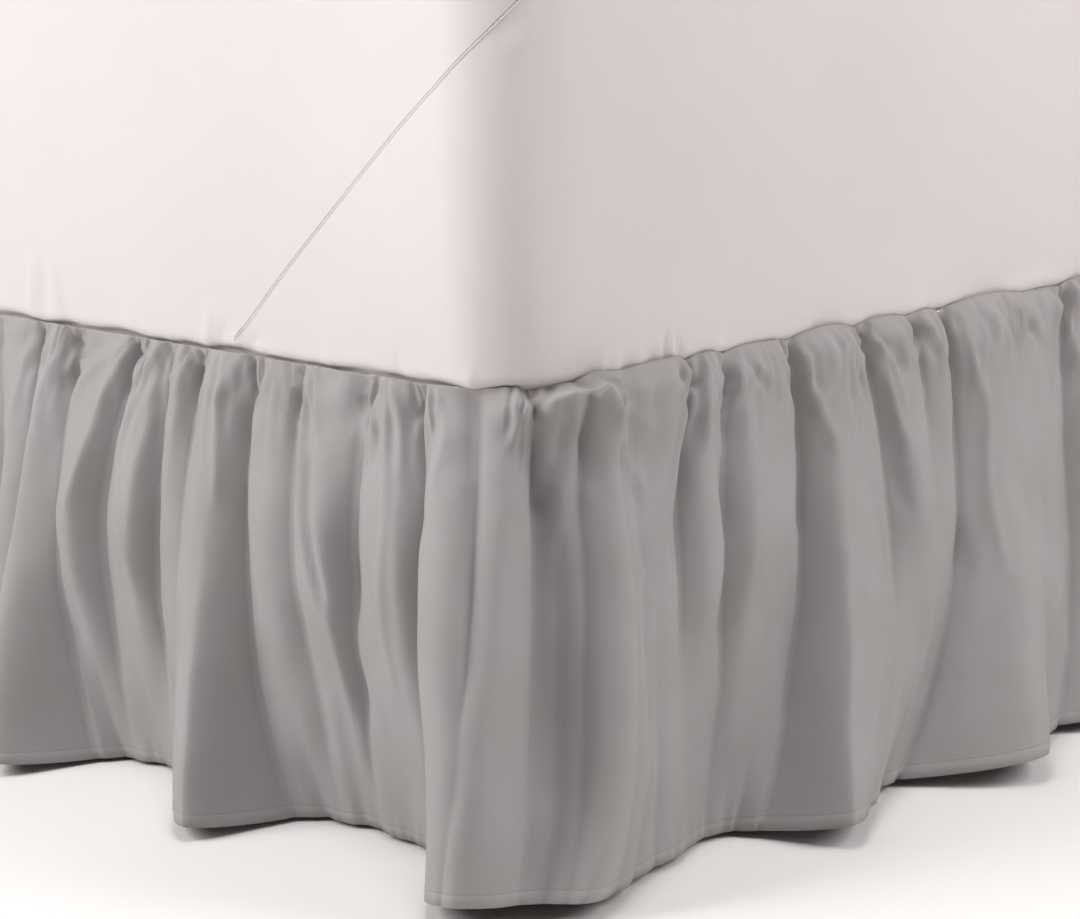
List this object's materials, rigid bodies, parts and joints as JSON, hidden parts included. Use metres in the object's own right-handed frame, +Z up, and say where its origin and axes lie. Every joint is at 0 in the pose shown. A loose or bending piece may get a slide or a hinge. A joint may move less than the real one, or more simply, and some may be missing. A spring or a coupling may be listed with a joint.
{
  "type": "bed skirt on a bed",
  "caption": "Gathered bed skirt that hangs round the foot and both sides of a plain single bed with its mattress in a fitted sheet.",
  "frame": {"origin": "on the floor under the middle of the whole footprint, flared folds included", "axes": "+X across the bed towards the pictured long side, +Y along the bed from the foot to the head, +Z up"},
  "size_m": [1.2494, 2.0264, 0.7238],
  "materials": {
    "skirt_cloth": "soft matt plain weave, mid grey",
    "panel_cloth": "plain white cloth",
    "sheet_cloth": "smooth fitted sheet, warm white",
    "base_cloth": "plain pale cover cloth",
    "leg_plastic": "dark matt plastic"
  },
  "bodies": {
    "root": {"ruffle": "skirt_cloth", "platform_panel": "panel_cloth", "mattress": "sheet_cloth", "bed_base": "base_cloth", "leg_1": "leg_plastic", "leg_2": "leg_plastic", "leg_3": "leg_plastic", "leg_4": "leg_plastic", "leg_5": "leg_plastic", "leg_6": "leg_plastic"}
  },
  "joints": []
}
